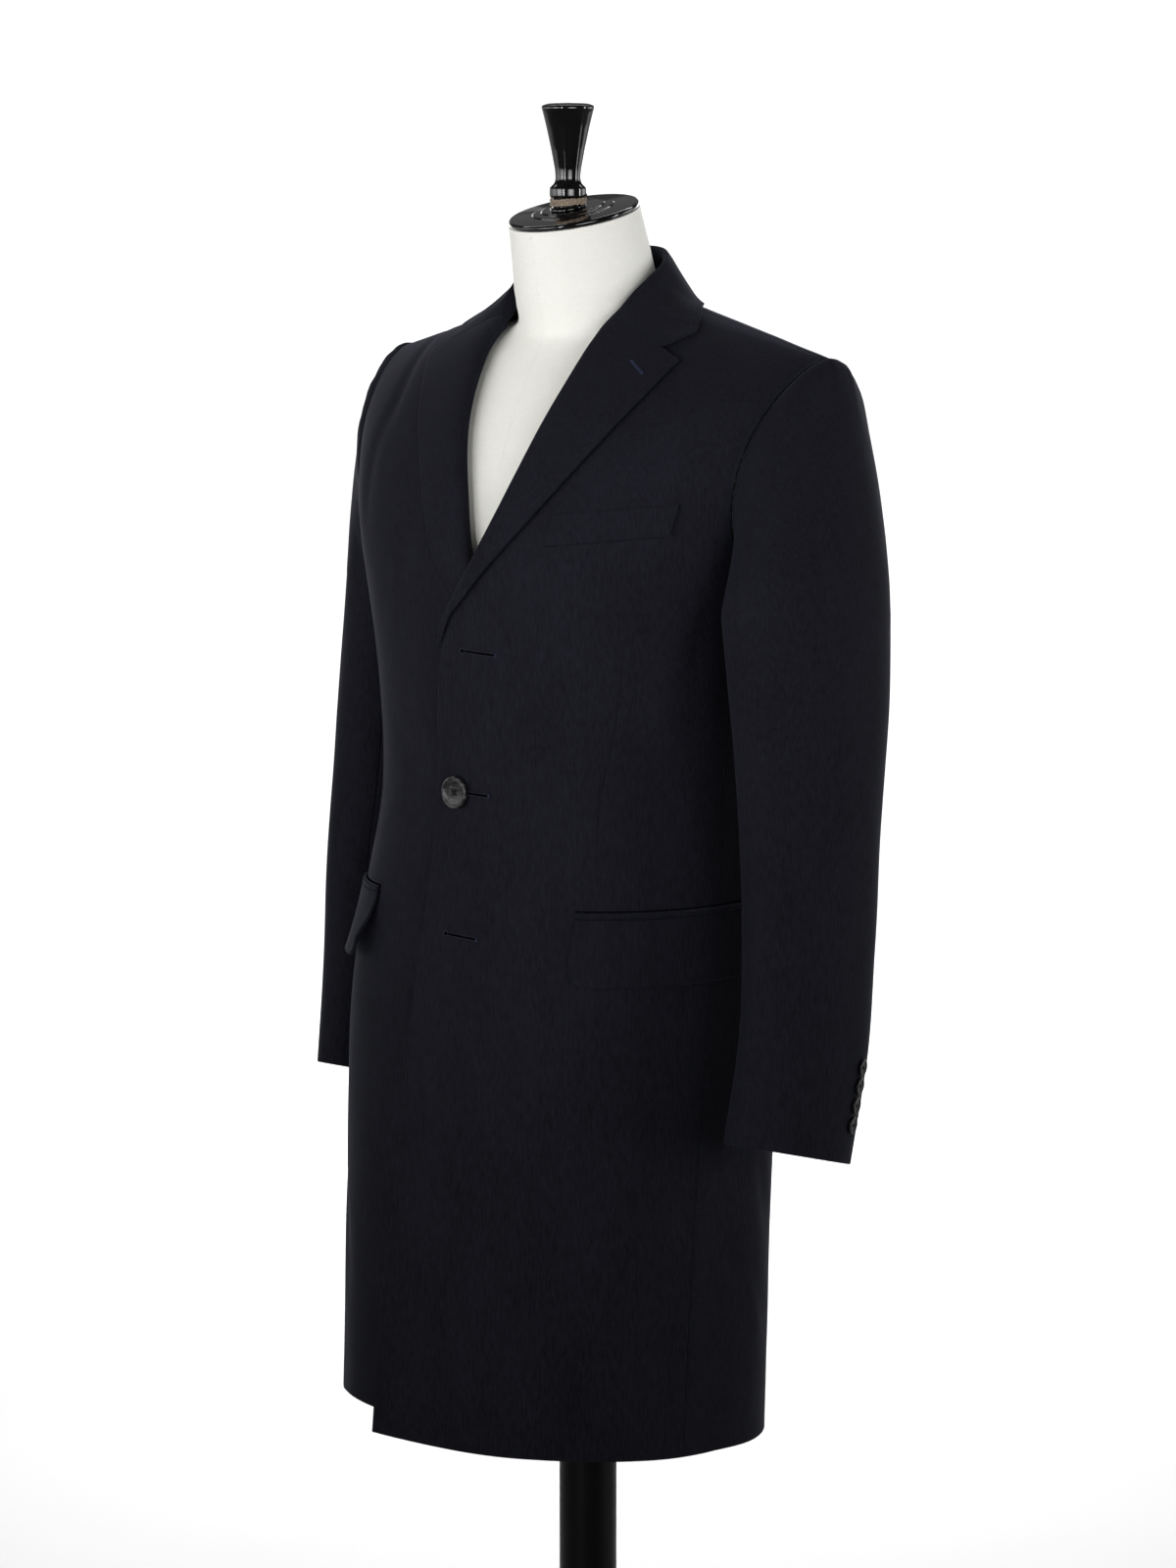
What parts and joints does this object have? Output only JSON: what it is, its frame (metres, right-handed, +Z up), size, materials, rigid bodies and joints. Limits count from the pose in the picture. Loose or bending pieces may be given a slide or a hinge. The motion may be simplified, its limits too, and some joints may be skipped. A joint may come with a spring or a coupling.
{
  "type": "wool overcoat on a limbless dress form with a pole stand",
  "caption": "Dark navy single-breasted wool overcoat with notch lapels, worn by a cream limbless dress form with a black neck cap, turned finial, pole and round base",
  "frame": {"origin": "on the floor, under the middle of the whole part's box; the pole stands 10 mm to the wearer's right of it and 3 mm behind it", "axes": "+Z up; the coat's front and the form's chest face -Y; +X is the wearer's left; the longest extent is +Z"},
  "size_m": [0.6174, 0.3854, 1.6603],
  "materials": {
    "wool": "matte, brushed nap",
    "horn": "polished dark horn",
    "form_cloth": "matte cream cover",
    "gloss_black": "gloss black lacquer",
    "jute": "coarse wound cord"
  },
  "bodies": {
    "root": {"base": "gloss_black", "chest_welt": "wool", "coat_back_left": "wool", "coat_back_right": "wool", "coat_collar": "wool", "coat_front_left": "wool", "coat_front_right": "wool", "coat_lapel_left": "wool", "coat_lapel_right": "wool", "coat_side_left": "wool", "coat_side_right": "wool", "cuff_button_left_1": "horn", "cuff_button_left_2": "horn", "cuff_button_left_3": "horn", "cuff_button_left_4": "horn", "cuff_button_right_1": "horn", "cuff_button_right_2": "horn", "cuff_button_right_3": "horn", "cuff_button_right_4": "horn", "finial": "gloss_black", "finial_binding": "jute", "form_torso": "form_cloth", "front_button": "horn", "neck_cap": "gloss_black", "pocket_flap_left": "wool", "pocket_flap_right": "wool", "pocket_jet_left": "wool", "pocket_jet_right": "wool", "pole": "gloss_black", "sleeve_top_left_upper": "wool", "sleeve_top_left_lower": "wool", "sleeve_top_right": "wool", "sleeve_under_left_upper": "wool", "sleeve_under_left_lower": "wool", "sleeve_under_right": "wool"}
  },
  "joints": []
}
